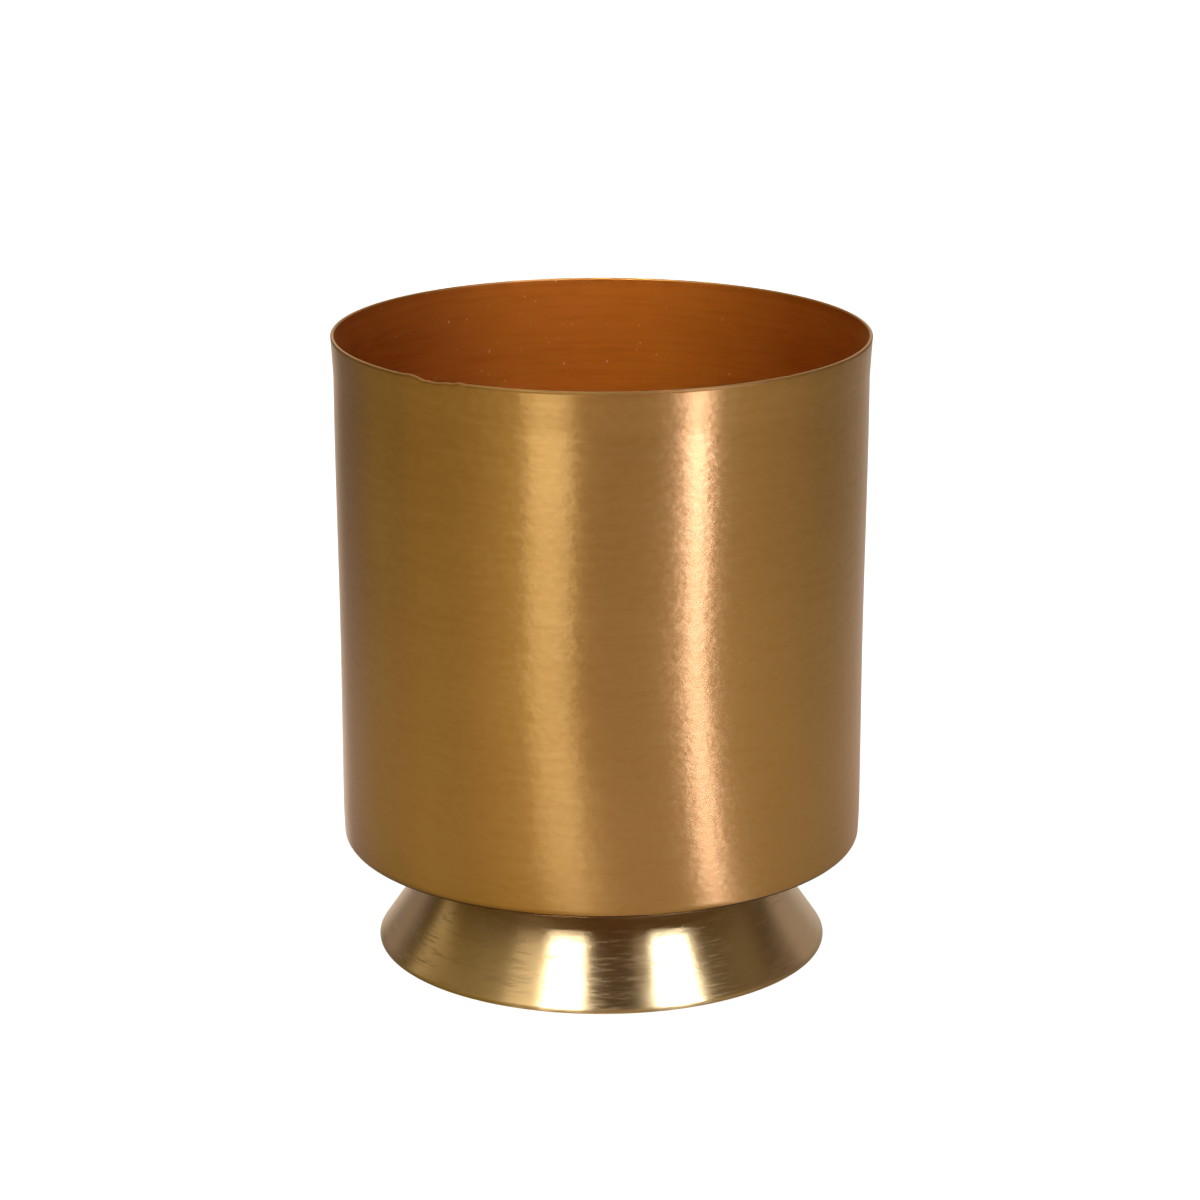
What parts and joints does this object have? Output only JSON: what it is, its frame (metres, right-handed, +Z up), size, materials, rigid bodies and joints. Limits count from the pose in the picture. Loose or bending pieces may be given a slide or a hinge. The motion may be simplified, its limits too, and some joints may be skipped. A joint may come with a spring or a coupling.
{
  "type": "footed planter pot",
  "caption": "Straight round metal planter cup with a slightly flared lip, bolted onto a shorter truncated-cone foot.",
  "frame": {"origin": "centre of the circle the foot stands on", "axes": "+Z up along the pot's axis; the pot is round, so X and Y are free"},
  "size_m": [0.1522, 0.1522, 0.18],
  "materials": {
    "pot_brass": "satin, brushed round the cup",
    "foot_brass": "polished, with fine brush lines round the cone",
    "rubber": "matte",
    "fastener_brass": "plain turned brass",
    "fastener_steel": "zinc plated"
  },
  "bodies": {
    "root": {"pot_shell": "pot_brass", "foot_shell": "foot_brass", "foot_gasket": "rubber", "sealing_washer": "rubber", "screw_washer": "fastener_brass", "fixing_screw": "fastener_brass", "plain_washer": "fastener_steel", "spring_washer": "fastener_steel", "hex_nut": "fastener_steel"}
  },
  "joints": []
}
